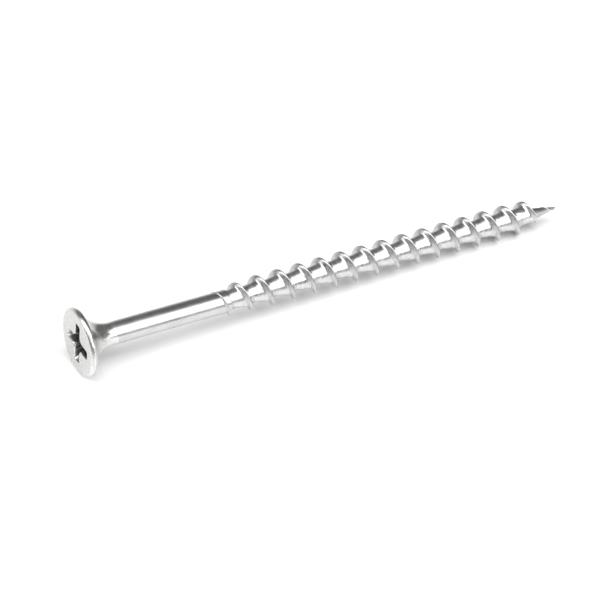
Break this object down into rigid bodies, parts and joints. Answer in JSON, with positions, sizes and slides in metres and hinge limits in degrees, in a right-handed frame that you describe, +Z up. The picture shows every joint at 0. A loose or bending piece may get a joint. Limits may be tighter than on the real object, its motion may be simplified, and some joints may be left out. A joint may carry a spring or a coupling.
{
  "type": "wood screw",
  "caption": "Countersunk bugle-head wood screw with a cross recess, plain shank, coarse single-start thread and gimlet point, in bright stainless steel.",
  "frame": {"origin": "centre of the flat head face, in the plane of the face, on the screw's axis", "axes": "+X along the screw's axis from the head to the point; the cross recess's wings lie along Y and Z; +Z is up when the screw lies on its side"},
  "size_m": [0.0635, 0.0082, 0.0082],
  "materials": {
    "head_steel": "satin stainless steel, tumbled after heading",
    "shank_steel": "bright drawn stainless steel with faint draw lines",
    "thread_steel": "bright rolled stainless steel with small rolling marks"
  },
  "bodies": {
    "root": {"head": "head_steel", "neck": "shank_steel", "shank": "shank_steel", "thread_core": "thread_steel", "thread": "thread_steel", "point": "thread_steel"}
  },
  "joints": []
}
